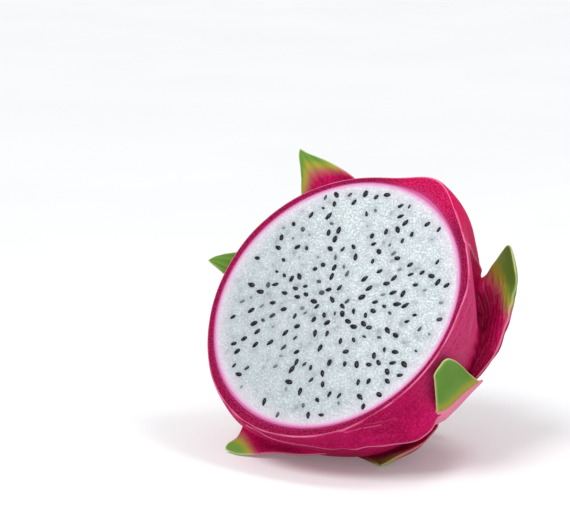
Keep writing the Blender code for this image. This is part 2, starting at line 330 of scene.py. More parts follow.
def swell_at(angle, height):
    """How far the bracts' fleshy bases lift the skin at a place."""
    radius = np.maximum(profile_radius(height, SKIN_RADIUS, SKIN_DEPTH), LEAST_RADIUS)
    lift = 0.0
    for at, deep, size, high in SWELLINGS:
        away = np.hypot(np.radians(turn_between(angle, at)) * radius, height - deep * MM)
        lift = lift + high * MM * np.exp(-((away / (size * MM)) ** 2))
    turned = np.asarray(angle)[..., None] + EDGE_EASE
    edge = np.interp(turned, *np.array(EDGE_SHIFT).T, period=360.0).mean(-1) * MM
    lift = lift + edge * (1.0 - smooth_step(0.0, EDGE_DEPTH, -height))
    for b in (*BRACTS, SHOULDER):
        root = b.root_height * MM
        top = b.swell_top * MM
        width = b.width * MM
        climb = max(b.tip_height * MM - root, LEAST_CLIMB)
        along = np.clip((height - root) / climb, 0.0, 1.0)
        centre = b.root_angle + turn_between(b.tip_angle, b.root_angle) * along
        across = np.radians(turn_between(angle, centre)) * radius
        shape = np.exp(-((across / (width * SWELL_SPREAD)) ** 2))
        shape *= smooth_step(root - width * SWELL_BELOW_ROOT, root + width * SWELL_ABOVE_ROOT, height)
        shape *= 1.0 - smooth_step(top - SWELL_FADE / 2.0, top + SWELL_FADE / 2.0, height)
        lift = lift + b.swell * MM * shape
    beyond = np.minimum(lift + HOLLOW_FREE, 0.0)
    return np.maximum(lift, -HOLLOW_FREE) - HOLLOW_ROOM * (1.0 - np.exp(beyond / HOLLOW_ROOM))


def crease_at(angle, height):
    """Lift of the fine folds, and how close to their crests a place is."""
    radius = np.maximum(profile_radius(height, SKIN_RADIUS, SKIN_DEPTH), LEAST_RADIUS)
    lift = np.zeros_like(height)
    crest = np.zeros_like(height)
    for size, path in CREASES:
        away = np.full_like(height, 1.0)
        for (a0, h0), (a1, h1) in zip(path[:-1], path[1:]):
            px = np.radians(turn_between(angle, a0)) * radius
            py = height - h0 * MM
            qx = math.radians(turn_between(a1, a0)) * radius
            qy = (h1 - h0) * MM
            share = np.clip((px * qx + py * qy) / (qx * qx + qy * qy), 0.0, 1.0)
            away = np.minimum(away, np.hypot(px - share * qx, py - share * qy))
        lift += size * MM * np.exp(-((away / CREASE_WIDTH) ** 2))
        crest = np.maximum(crest, size * np.exp(-((away / CREST_WIDTH) ** 2)))
    across = np.radians(turn_between(angle, CRUMPLE_ANGLE)) * SKIN_RADIUS
    near = np.exp(-((across / CRUMPLE_SIZE) ** 2) - ((height - CRUMPLE_HEIGHT) / CRUMPLE_SIZE) ** 2)
    waves = np.cos(across / CRUMPLE_WAVE + 1.6 * np.sin(height / (3.1 * MM)))
    waves = waves + 0.5 * np.cos(across / (0.55 * CRUMPLE_WAVE) + 2.0)
    return lift + CRUMPLE * near * waves, crest


def skin_point(angle, latitude):
    radius, height = profile_at(latitude, SKIN_RADIUS, SKIN_DEPTH)
    lean = LOPSIDED * np.cos(np.radians(angle - FULLEST_ANGLE)) * radius / SKIN_RADIUS
    lift = swell_at(angle, height) + crease_at(angle, height)[0]
    radius = radius + lean + lift * np.cos(latitude)
    return polar(angle, radius, height - lift * np.sin(latitude))


def blade_width(b, s):
    """Width of a plain blade at s, from 0 at the root to 1 at the tip."""
    full = b.width * MM
    grown = np.sin(np.clip(s / WIDEST_AT, 0.0, 1.0) * math.pi / 2.0)
    low = full * (BLADE_ROOT_WIDTH + (1.0 - BLADE_ROOT_WIDTH) * grown)
    u = np.clip((s - WIDEST_AT) / (1.0 - WIDEST_AT), 0.0, 1.0)
    high = BLADE_TIP_WIDTH + (full - BLADE_TIP_WIDTH) * (1.0 - u**BLADE_FULLNESS)
    return np.where(s < WIDEST_AT, low, high)


def blade_sides(b, s):
    """Reach of a blade to its low side and its high side at s."""
    if b.name not in OUTLINES:
        half = blade_width(b, s) / 2.0
        return half, half
    knots = np.array(OUTLINES[b.name]).T
    around = np.clip(np.asarray(s)[..., None] + OUTLINE_EASE, 0.0, 1.0)
    return tuple(np.interp(around, knots[0], side).mean(-1) * MM for side in knots[1:])


def midrib(b, s):
    """The line down a blade's middle: it leaves the skin at its lift and ends at its flare."""
    root_height = b.root_height * MM
    skin = profile_radius(root_height, SKIN_RADIUS, SKIN_DEPTH)
    reached = abs(root_height) / SKIN_DEPTH
    slope = SKIN_RADIUS / SKIN_DEPTH * (reached * SKIN_RADIUS / skin) ** (PROFILE_POWER - 1.0)
    out_of_skin = Vector((1.0, -slope)).normalized()
    up_skin = Vector((slope, 1.0)).normalized()
    start = Vector((skin, root_height)) - out_of_skin * ROOT_SUNK
    end = Vector((b.tip_radius, b.tip_height)) * MM
    reach = (end - start).length
    lift = math.radians(b.lift)
    leave = up_skin * math.cos(lift) + out_of_skin * math.sin(lift)
    flare = math.radians(b.flare)
    arrive = Vector((math.sin(flare), math.cos(flare)))
    knots = (start, start + leave * reach * MIDRIB_PULL, end - arrive * reach * MIDRIB_PULL, end)
    t = 1.0 - s
    weights = (t**3, 3 * t * t * s, 3 * t * s * s, s**3)
    radius = sum(w * k.x for w, k in zip(weights, knots))
    height = sum(w * k.y for w, k in zip(weights, knots))
    drift = turn_between(b.tip_angle, b.root_angle) * smooth_step(0.0, 1.0, s)
    return polar(b.root_angle + drift, radius, height)


def unit(v):
    return v / np.maximum(np.linalg.norm(v, axis=-1, keepdims=True), 1e-12)


def dot(a, b):
    return (a * b).sum(-1, keepdims=True)


def fold_at(b, s, x):
    """Lengthwise folds of a blade, from -1 to 1, gone at its margins and tip."""
    across = (x - b.fold_slant * s) * b.fold_waves
    wave = np.cos(across + 2.2 * np.sin(3.0 * s + b.root_angle + 2.0 * x) + b.tip_angle)
    ending = 1.0 - smooth_step(b.fold_end - FOLD_EASE, b.fold_end + FOLD_EASE, s)
    return wave * ending * (1.0 - x**8) * np.sin(np.clip(s, 0.0, 1.0) * math.pi) ** 0.7


def below_cut(points):
    """Eases points that near the knife's plane, so that the tips lean away from it."""
    near = points[..., 2] + CUT_NEAR
    eased = CUT_ROOM * (1.0 - np.exp(-np.maximum(near, 0.0) / CUT_ROOM))
    points[..., 2] = np.where(near > 0.0, eased - CUT_NEAR, points[..., 2])
    return points


def blade_sheets(b, s, x):
    """Both faces of a blade at s and x: lengthwise folds, thin rounded margins."""
    place = s * b.reach
    here = midrib(b, place)
    along = unit(midrib(b, place + BLADE_STEP) - midrib(b, np.maximum(place - BLADE_STEP, 0.0)))
    round_axis = np.stack((-here[..., 1], here[..., 0], np.zeros_like(s)), -1)
    side = unit(round_axis - along * dot(round_axis, along))
    out = np.cross(side, along)
    low, high = blade_sides(b, s)
    half = np.where(x < 0.0, low, high)
    half = half * np.sqrt(1.0 - (np.clip(s - TIP_ROUNDS_AT, 0.0, 1.0) / (1.0 - TIP_ROUNDS_AT)) ** 4)
    bend = b.cup * (x * half) ** 2 / (2.0 * SKIN_RADIUS)
    bend = bend - b.bulge * MM * np.sin(np.clip(s, 0.0, 1.0) * math.pi) * (1.0 - 0.5 * x * x)
    tucked = 1.0 - smooth_step(b.tuck_to - TUCK_EASE, b.tuck_to + TUCK_EASE, s)
    bend = bend + b.tuck * MM * np.maximum(x, 0.0) ** 2 * tucked
    fold = b.folds * MM * fold_at(b, s, x)
    middle = here + side * (half * x)[..., None] + out * (fold - bend)[..., None]
    edge = BLADE_EDGE * np.sqrt(np.clip(1.0 - x**10, 0.0, 1.0))
    edge = edge * np.sqrt(np.clip(1.0 - s**30, 0.0, 1.0))
    body = (b.thick * MM - BLADE_EDGE) * (1.0 - s * s) * (1.0 - x**4)
    thick = (edge + body)[..., None] / 2.0
    return below_cut(middle + out * thick), below_cut(middle - out * thick)


def mesh_from(name, points, faces):
    mesh = bpy.data.meshes.new(name)
    mesh.from_pydata([tuple(p) for p in points], [], faces)
    mesh.update()
    mesh.shade_smooth()
    return mesh


def mesh_of(bm, name):
    mesh = bpy.data.meshes.new(name)
    bm.to_mesh(mesh)
    bm.free()
    return mesh


def band(first, second, columns):
    """Faces between two rings of points."""
    turns = [(c, (c + 1) % columns) for c in range(columns)]
    return [(first + c, second + c, second + n, first + n) for c, n in turns]


def new_object(name, mesh, material, matrix=FRUIT):
    made = bpy.data.objects.new(name, mesh)
    bpy.context.scene.collection.objects.link(made)
    made.matrix_world = matrix
    mesh.materials.append(material)
    return made


def write_layer(mesh, name, values, domain="CORNER"):
    layer = mesh.attributes.new(name, "FLOAT", domain)
    layer.data.foreach_set("value", np.asarray(values, dtype=np.float32).ravel())


def read(items, field, each=1, kind=np.float64):
    values = np.empty(len(items) * each, dtype=kind)
    items.foreach_get(field, values)
    return values


def corners(mesh):
    return read(mesh.loops, "vertex_index", kind=np.int32)


def points_of(mesh):
    return read(mesh.vertices, "co", 3).reshape(-1, 3)


def set_points(mesh, co):
    mesh.vertices.foreach_set("co", np.asarray(co, dtype=np.float32).ravel())
    mesh.update()


def skin_layers(mesh, number, green, highlight_and_pale_strip, grain):
    """Per-corner values that the skin's material reads, and the number of the piece."""
    at = corners(mesh)
    write_layer(mesh, "piece", np.full(len(at), number))
    write_layer(mesh, "green", green[at])
    write_layer(mesh, "highlight_and_pale_strip", highlight_and_pale_strip[at])
    layer = mesh.uv_layers.new(name="grain")
    layer.data.foreach_set("uv", grain[at].astype(np.float32).ravel())


def body_mesh():
    """The plump body: rows close together at the cut, a cap above it for the knife to take off."""
    rest = np.linspace(math.radians(3.6), math.radians(89.0), SKIN_ROWS)
    latitudes = np.concatenate((np.radians(RIM_LATITUDES), rest))
    angles = np.arange(SKIN_COLUMNS) * 360.0 / SKIN_COLUMNS
    a, latitude = np.meshgrid(angles, latitudes)
    grid = skin_point(a, latitude)
    rows, columns = a.shape
    bottom = skin_point(np.zeros(1), np.full(1, math.pi / 2))[0]
    points = [*grid.reshape(-1, 3), bottom, grid[0].mean(0)]
    low, top = rows * columns, rows * columns + 1
    faces = []
    for r in range(rows - 1):
        faces += band(r * columns, (r + 1) * columns, columns)
    last = (rows - 1) * columns
    for c in range(columns):
        n = (c + 1) % columns
        faces.append((last + c, low, last + n))
        faces.append((c, n, top))
    mesh = mesh_from("body", points, faces)
    count = len(points)
    arc = np.concatenate(([0.0], np.cumsum(np.linalg.norm(np.diff(grid[:, 0], axis=0), axis=1))))
    grain = np.zeros((count, 2))
    grain[: rows * columns, 0] = np.repeat(arc, columns)
    grain[: rows * columns, 1] = (np.radians(a) * SKIN_RADIUS).ravel()
    # How near a point is to a fold's crest: the skin gets a painted highlight there
    crest_highlight = np.zeros(count)
    _, height = profile_at(latitude, SKIN_RADIUS, SKIN_DEPTH)
    crest_highlight[: rows * columns] = crease_at(a, height)[1].ravel()
    skin_layers(mesh, 0.0, np.full(count, NO_GREEN), crest_highlight, grain)
    return mesh


def sheet_mesh(name, outer, inner, shared):
    """A closed thin sheet from two grids of points, which meet where shared says."""
    rows, columns = shared.shape
    outer[shared] = inner[shared] = (outer[shared] + inner[shared]) / 2.0
    top = np.arange(rows * columns).reshape(rows, columns)
    low = top.copy()
    low[~shared] = rows * columns + np.arange((~shared).sum())
    points = np.concatenate((outer.reshape(-1, 3), inner[~shared]))
    faces = []
    for r in range(rows - 1):
        for c in range(columns - 1):
            faces.append((top[r, c], top[r, c + 1], top[r + 1, c + 1], top[r + 1, c]))
            faces.append((low[r, c], low[r + 1, c], low[r + 1, c + 1], low[r, c + 1]))
    if not shared[0].all():
        faces.append(tuple(low[0]) + tuple(top[0, -2:0:-1]))
    return mesh_from(name, points, [tuple(int(i) for i in f) for f in faces])


def sheet_layers(mesh, number, shared, *values):
    """Gives a sheet's points the values of its grid: both faces, and the shared points once."""
    both = [np.concatenate((v.reshape(shared.size, *v.shape[2:]), v[~shared])) for v in values]
    skin_layers(mesh, number, *both)


def blade_mesh(b, number):
    """A bract: two faces that share their margins and tip, closed at the root."""
    plain = b.name not in OUTLINES
    u = np.linspace(0.0, 1.0, PLAIN_BLADE_ROWS if plain else b.rows)
    s_row = 1.0 - (1.0 - u) ** TIP_CROWDING
    spread = np.linspace(-1.0, 1.0, PLAIN_BLADE_COLUMNS if plain else b.columns)
    x_row = np.sin(spread * MARGIN_CROWDING) / math.sin(MARGIN_CROWDING)
    s, x = np.meshgrid(s_row, x_row, indexing="ij")
    outer, inner = blade_sheets(b, s, x)
    shared = np.zeros(s.shape, dtype=bool)
    shared[:, 0] = shared[:, -1] = True
    shared[-1] = True
    mesh = sheet_mesh(b.name, outer, inner, shared)
    low, high = blade_sides(b, s)
    half = np.where(x < 0.0, low, high)
    green = b.green_pace * (s + b.green_margin * x * x + b.green_lean * x - b.green)
    # A painted highlight along the blade's thin edges, the pale bract's own pale strip by its green line,
    # and a painted highlight on the crests of slanted folds
    inside = np.minimum((1.0 - np.abs(x)) * half, (1.0 - s) * MARGIN_FADE_AT_TIP)
    highlight_and_pale_strip = np.exp(-inside / MARGIN_FADE)
    strip = (1.0 - smooth_step(-0.05, 0.05, green)) * smooth_step(-0.75, -0.4, green)
    highlight_and_pale_strip = np.maximum(highlight_and_pale_strip, b.pale * strip)
    if b.fold_slant > 0.0:
        highlight_and_pale_strip = np.maximum(highlight_and_pale_strip, FOLD_CREST_HIGHLIGHT * smooth_step(0.0, 0.8, fold_at(b, s, x)))
    grain = np.stack((x * half, s * GRAIN_LENGTH), -1)
    sheet_layers(mesh, number, shared, green, highlight_and_pale_strip, grain)
    return mesh


def lip_mesh(number):
    """The front bract's sheet along its free margin, rising out of the skin."""
    knots = np.array(LIP).T
    along = np.linspace(0.0, 1.0, LIP_ROWS)
    across = np.sin(np.linspace(0.0, math.pi / 2.0, LIP_COLUMNS))
    t, u = np.meshgrid(along, across, indexing="ij")
    around = np.clip(t[..., None] + LIP_EASE, 0.0, 1.0)
    places = np.linspace(0.0, 1.0, len(LIP))
    angle, margin_height, stand, width = (
        np.interp(around, places, values).mean(-1) for values in knots
    )
    height = np.minimum(margin_height + width * (1.0 - u), LIP_HIGHEST) * MM
    lift = -LIP_SUNK + (stand * MM + LIP_SUNK) * u**1.2
    lift = lift + LIP_WAVE * u * np.sin(t * 41.0 + 2.0 * np.sin(t * 13.0))
    reached = np.minimum(np.abs(height) / SKIN_DEPTH, 1.0)
    latitude = np.arcsin(reached ** (PROFILE_POWER / 2.0))
    skin = skin_point(angle, latitude)
    out = polar(angle, np.cos(latitude), -np.sin(latitude))
    thick = LIP_EDGE * np.sqrt(np.clip(1.0 - u**10, 0.0, 1.0)) + LIP_BODY * (1.0 - u * u)
    outer = skin + out * lift[..., None]
    inner = outer - out * thick[..., None]
    shared = np.zeros(t.shape, dtype=bool)
    shared[:, 0] = shared[:, -1] = True
    shared[0] = shared[-1] = True
    mesh = sheet_mesh("lip", outer, inner, shared)
    # A painted highlight along the lip's free edge
    highlight_and_pale_strip = np.exp(-(1.0 - u) * width * MM / MARGIN_FADE)
    grain = np.stack((-width * (1.0 - u) * MM, np.radians(angle) * SKIN_RADIUS), -1)
    sheet_layers(mesh, number, shared, np.full(t.shape, NO_GREEN), highlight_and_pale_strip, grain)
    return mesh


def boolean(obj, operation, operand):
    made = obj.modifiers.new(operation.lower(), "BOOLEAN")
    made.operation = operation
    made.solver = "EXACT"
    made.material_mode = "TRANSFER"
    if isinstance(operand, bpy.types.Collection):
        made.operand_type = "COLLECTION"
        made.collection = operand
    else:
        made.object = operand
    graph = bpy.context.evaluated_depsgraph_get()
    result = bpy.data.meshes.new_from_object(obj.evaluated_get(graph))
    obj.modifiers.clear()
    obj.data = result


def settle(obj):
    """Puts the fruit's own place and tilt into the mesh."""
    obj.data.transform(obj.matrix_world)
    obj.matrix_world = Matrix.Identity(4)
    obj.data.update()
    return obj


def discard(obj):
    bpy.data.objects.remove(obj, do_unlink=True)


def soften_joins(mesh):
    """Relaxes the skin where bracts grow out of it, more widely where the two are one sheet."""
    at = corners(mesh)
    number = read(mesh.attributes["piece"].data, "value", kind=np.float32)
    co = points_of(mesh)
    count = len(co)
    high = np.full(count, -1.0)
    low = np.full(count, 99.0)
    np.maximum.at(high, at, number)
    np.minimum.at(low, at, number)
    seam = np.nonzero(high - low > 0.5)[0]
    tree = kdtree.KDTree(len(seam))
    for k, i in enumerate(seam):
        tree.insert(co[i], k)
    tree.balance()
    found = [tree.find(p) for p in co]
    away = np.array([f[2] for f in found])
    blends = np.array([b.blend for b in BRACTS] + [LIP_BLEND])
    blend = blends[np.round(high[seam[[f[1] for f in found]]]).astype(int) - 1]
    weight = 1.0 - smooth_step(JOIN_CORE, 1.0, away / (blend * MM))
    weight = weight * JOIN_PULL * (blend / WIDEST_BLEND) ** 1.5
    a, b = read(mesh.edges, "vertices", 2, np.int32).reshape(-1, 2).T
    moving = weight > 0.001
    kept = moving[a] | moving[b]
    a, b = a[kept], b[kept]
    links = np.maximum(np.bincount(a, minlength=count) + np.bincount(b, minlength=count), 1)
    for _ in range(JOIN_PASSES):
        for axis in range(3):
            line = co[:, axis]
            total = np.bincount(a, line[b], count) + np.bincount(b, line[a], count)
            line += np.where(moving, weight * (total / links - line), 0.0)
    set_points(mesh, co)


def round_rim(mesh):
    """Turns the skin's edge in at the cut."""
    co = points_of(mesh)
    near = np.clip((co[:, 2] + RIM_HEIGHT) / RIM_HEIGHT, 0.0, 1.0)
    radius = np.hypot(co[:, 0], co[:, 1])
    turned = RIM_ROUNDING * (1.0 - np.sqrt(1.0 - near**2))
    scale = 1.0 - turned / np.maximum(radius, LEAST_RADIUS)
    co[:, :2] *= scale[:, None]
    set_points(mesh, co)


def box_mesh(name, size, height):
    bm = bmesh.new()
    bmesh.ops.create_cube(bm, size=size)
    bmesh.ops.translate(bm, verts=bm.verts, vec=(0.0, 0.0, height))
    return mesh_of(bm, name)


def socket_mesh():
    bm = bmesh.new()
    wide = STALK_RADIUS + FIT_GAP
    depth = SOCKET_FLOOR - STALK_END
    bmesh.ops.create_cone(bm, cap_ends=True, segments=32, radius1=wide, radius2=wide, depth=depth)
    bmesh.ops.translate(bm, verts=bm.verts, vec=(0.0, 0.0, (SOCKET_FLOOR + STALK_END) / 2.0))
    return mesh_of(bm, "socket")


def add_cut_ring(mesh, material_index):
    """Replaces the knife's flat face by a fine ring and the wall behind the flesh."""
    bm = bmesh.new()
    bm.from_mesh(mesh)
    flat = [f for f in bm.faces if all(abs(v.co.z) < 1e-6 for v in f.verts)]
    loop = {v for f in flat for v in f.verts}
    bmesh.ops.delete(bm, geom=flat, context="FACES_ONLY")
    rim = [v for v in loop if v.is_valid and v.link_faces]
    rim.sort(key=lambda v: math.atan2(v.co.y, v.co.x))
    ring_layer = bm.loops.layers.float.new("ring")
    turns = [math.atan2(v.co.y, v.co.x) for v in rim]
    inner_radius = FLESH_RADIUS + FIT_GAP
    inner_depth = FLESH_DEPTH + FIT_GAP
    rows = [rim]
    shares = [1.0]
    for k in range(1, RING_ROWS + 1):
        share = 1.0 - k / RING_ROWS
        row = []
        for v, a in zip(rim, turns):
            edge = math.hypot(v.co.x, v.co.y)
            r = inner_radius + (edge - inner_radius) * share
            p = Vector((r * math.cos(a), r * math.sin(a), 0.0))
            p.z = (RING_GRAIN * noise.noise(p * RING_GRAINS_PER_METRE) - RING_DIP) * min(k / 2.0, 1.0)
            row.append(bm.verts.new(p))
        rows.append(row)
        shares.append(share)
    for k in range(1, CAVITY_ROWS):
        radius, height = profile_at(math.pi / 2.0 * k / CAVITY_ROWS, inner_radius, inner_depth)
        rows.append([bm.verts.new((radius * math.cos(a), radius * math.sin(a), height)) for a in turns])
        shares.append(-k)
    rows.append([bm.verts.new((0.0, 0.0, -inner_depth))])
    shares.append(-CAVITY_ROWS)
    count = len(rim)
    bands = list(zip(rows, shares))
    for (above, share_a), (below, share_b) in zip(bands[:-1], bands[1:]):
        for c in range(count):
            n = (c + 1) % count
            ring = [(above[c], share_a), (above[n], share_a)]
            ring += [(v, share_b) for v in ([below[0]] if len(below) == 1 else [below[n], below[c]])]
            face = bm.faces.new([v for v, _ in ring])
            face.smooth = True
            face.material_index = material_index
            for corner, (_, share) in zip(face.loops, ring):
                corner[ring_layer] = share
    bmesh.ops.recalc_face_normals(bm, faces=bm.faces)
    bm.to_mesh(mesh)
    bm.free()


def build_rind(skin, cut):
    """Skin and bracts in one piece, cut by the knife, flat where it rests, with the stalk's socket."""
    rind = new_object("rind_skin", body_mesh(), skin)
    blades = bpy.data.collections.new("blades")
    bpy.context.scene.collection.children.link(blades)
    sheets = [blade_mesh(b, number) for number, b in enumerate(BRACTS, 1)]
    for mesh in (*sheets, lip_mesh(len(BRACTS) + 1)):
        blade = bpy.data.objects.new(mesh.name, mesh)
        blade.data.materials.append(skin)
        blades.objects.link(blade)
        blade.matrix_world = FRUIT
    boolean(rind, "UNION", blades)
    for blade in list(blades.objects):
        discard(blade)
    bpy.data.collections.remove(blades)
    soften_joins(rind.data)
    round_rim(rind.data)
    slab = 4.0 * SKIN_RADIUS
    knife = new_object("knife", box_mesh("knife", slab, slab / 2.0), skin)
    table = new_object("table", box_mesh("table", slab, -slab / 2.0), skin, Matrix.Identity(4))
    socket = new_object("socket", socket_mesh(), skin)
    for cutter in (knife, table, socket):
        boolean(rind, "DIFFERENCE", cutter)
        discard(cutter)
    rind.data.materials.clear()
    rind.data.materials.append(skin)
    rind.data.materials.append(cut)
    add_cut_ring(rind.data, 1)
    rind.data.shade_smooth()
    rind.data.update()
    return rind


def seed_places():
    """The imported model's own rule: random places, thinning outwards, with their turns."""
    draw = random.Random(SEED_DRAW)
    places = []
    while len(places) < SEED_COUNT:
        out = math.sqrt(draw.random())
        if draw.random() < SEED_THINNING * out:
            continue
        turn = draw.uniform(0.0, math.tau)
        spot = Vector((math.cos(turn), math.sin(turn))) * out * SEED_FIELD
        apart = SEED_APART_MIDDLE + (SEED_APART_EDGE - SEED_APART_MIDDLE) * out
        if all((spot - other).length > apart for other, _ in places):
            places.append((spot, turn + draw.gauss(0.0, SEED_SWAY)))
    return places


def build_flesh(pulp, places):
    """The white flesh: a fine cut face with small hollows and a ring of lift round each seed."""
    edge = FLESH_RADIUS + FIT_GAP
    radii = np.linspace(0.0, 1.0, FLESH_ROWS + 1)[1:] * edge
    angles = np.arange(FLESH_COLUMNS) * math.tau / FLESH_COLUMNS
    a, r = np.meshgrid(angles, radii)
    xy = np.stack((r * np.cos(a), r * np.sin(a)), -1).reshape(-1, 2)
    xy = np.concatenate((np.zeros((1, 2)), xy))
    height = np.array([noise.noise((x * 260.0, y * 260.0, 3.0)) for x, y in xy]) * 0.10 * MM
    height += np.array([noise.noise((x * 1100.0, y * 1100.0, 8.0)) for x, y in xy]) * 0.05 * MM
    height -= 0.08 * MM
    spots = np.array([tuple(p) for p, _ in places])
    away = np.full(len(xy), 1.0)
    for spot in spots:
        away = np.minimum(away, np.hypot(*(xy - spot).T))
    height += 0.10 * MM * np.exp(-(((away - 1.3 * MM) / (0.6 * MM)) ** 2))
    distance = np.hypot(xy[:, 0], xy[:, 1])
    height *= 1.0 - smooth_step(edge - 1.2 * MM, edge, distance)
    draw = random.Random(SEED_DRAW + 1)
    ghost = np.zeros(len(xy))
    for _ in range(GHOST_SEEDS):
        out = math.sqrt(draw.random()) * SEED_FIELD
        turn = draw.uniform(0.0, math.tau)
        spot = np.array((math.cos(turn), math.sin(turn))) * out
        lean = turn + draw.gauss(0.0, SEED_SWAY)
        d = xy - spot
        long = d[:, 0] * math.cos(lean) + d[:, 1] * math.sin(lean)
        wide = -d[:, 0] * math.sin(lean) + d[:, 1] * math.cos(lean)
        size = draw.uniform(0.8, 1.25)
        strength = draw.uniform(0.2, 0.85)
        shade = np.exp(-((long / (1.25 * MM * size)) ** 2) - (wide / (0.72 * MM * size)) ** 2)
        ghost = np.maximum(ghost, strength * shade)
    points = [tuple(p) for p in np.column_stack((xy, height))]
    columns = FLESH_COLUMNS
    faces = [(0, 1 + c, 1 + (c + 1) % columns) for c in range(columns)]
    start = 1
    for _ in range(FLESH_ROWS - 1):
        faces += band(start, start + columns, columns)
        start += columns
    for k in range(1, CAVITY_ROWS):
        radius, z = profile_at(math.pi / 2.0 * k / CAVITY_ROWS, FLESH_RADIUS, FLESH_DEPTH)
        first = len(points)
        points += [(radius * math.cos(t), radius * math.sin(t), z) for t in angles]
        faces += band(start, first, columns)
        start = first
    points.append((0.0, 0.0, -FLESH_DEPTH))
    for c in range(columns):
        faces.append((start + c, len(points) - 1, start + (c + 1) % columns))
    mesh = mesh_from("flesh", points, faces)
    ghosts = np.zeros(len(points))
    ghosts[: len(ghost)] = ghost
    # Painted shade: a soft grey halo round each seed
    near = np.zeros(len(points))
    near[: len(away)] = np.exp(-((away / (1.7 * MM)) ** 2))
    write_layer(mesh, "ghost", ghosts, "POINT")
    write_layer(mesh, "painted_seed_shade", near, "POINT")
    return new_object("pulp", mesh, pulp)


def seed_points():
    """A drop: round at one end, drawn out at the other, slightly flat."""
    points = []
    for k in range(1, SEED_RINGS):
        t = math.pi * k / SEED_RINGS
        x = math.cos(t)
        for j in range(SEED_SIDES):
            q = math.tau * j / SEED_SIDES
            wide = math.sin(t) * (1.0 - 0.34 * (x + 1.0) / 2.0 - 0.14 * max(x, 0.0) ** 2)
            points.append((x, wide * math.cos(q), wide * math.sin(q)))
    return [(1.0, 0.0, 0.0)] + points + [(-1.0, 0.0, 0.0)]


def build_seeds(shell, places):
    sides = SEED_SIDES
    draw = random.Random(SEED_DRAW + 2)
    points, faces, veil = [], [], []
    shape = seed_points()
    for spot, turn in places:
        size = draw.uniform(0.86, 1.12)
        sunk = draw.random() ** 3
        lean = Euler((draw.gauss(0.0, 0.25), draw.gauss(0.0, 0.22), turn)).to_matrix()
        place = Vector((spot.x, spot.y, SEED_STANDS - SEED_HALF.z - sunk * 0.35 * MM))
        first = len(points)
        for p in shape:
            scaled = Vector((p[0] * SEED_HALF.x, p[1] * SEED_HALF.y, p[2] * SEED_HALF.z)) * size
            points.append(place + lean @ scaled)
        veil += [sunk] * len(shape)
        last = first + len(shape) - 1
        end = last - sides
        for j in range(sides):
            n = (j + 1) % sides
            faces.append((first, first + 1 + j, first + 1 + n))
            faces.append((end + j, last, end + n))
        for ring in range(first + 1, end, sides):
            faces += band(ring, ring + sides, sides)
    mesh = mesh_from("seeds", points, faces)
    write_layer(mesh, "veil", veil, "POINT")
    return new_object("seeds", mesh, shell)


def build_stalk(wood):
    """A short woody stub with ribs along it and a rough cut end."""
    sides, rows = STALK_SIDES, STALK_ROWS
    low, high = STALK_END, SOCKET_FLOOR - FIT_GAP
    points, faces = [], []
    for k in range(rows + 1):
        share = k / rows
        z = low + (high - low) * share
        base = STALK_END_RADIUS + (STALK_RADIUS - STALK_END_RADIUS) * share
        for j in range(sides):
            t = math.tau * j / sides
            rib = 0.16 * MM * math.cos(7 * t + 2.0 * share) + 0.10 * MM * math.cos(16 * t - 1.5 * share)
            rough = 0.12 * MM * noise.noise((math.cos(t) * 3.0, math.sin(t) * 3.0, share * 2.0))
            r = base - 0.28 * MM + rib + rough
            points.append((r * math.cos(t), r * math.sin(t), z))
    for k in range(rows):
        faces += band(k * sides, (k + 1) * sides, sides)
    start = 0
    for i, share in enumerate(STALK_END_RINGS):
        first = len(points)
        for j in range(sides):
            x, y, z = points[j]
            bump = 0.25 * MM * noise.noise((x * 1500.0, y * 1500.0, i))
            points.append((x * share, y * share, low + 0.35 * MM * (1 - share) + abs(bump)))
        faces += band(start, first, sides)
        start = first
    faces.append(tuple(start + j for j in range(sides)))
    faces.append(tuple(rows * sides + j for j in reversed(range(sides))))
    mesh = mesh_from("stalk", points, faces)
    bm = bmesh.new()
    bm.from_mesh(mesh)
    bmesh.ops.recalc_face_normals(bm, faces=bm.faces)
    bm.to_mesh(mesh)
    bm.free()
    mesh.shade_smooth()
    return new_object("stalk_stub", mesh, wood)


# Materials


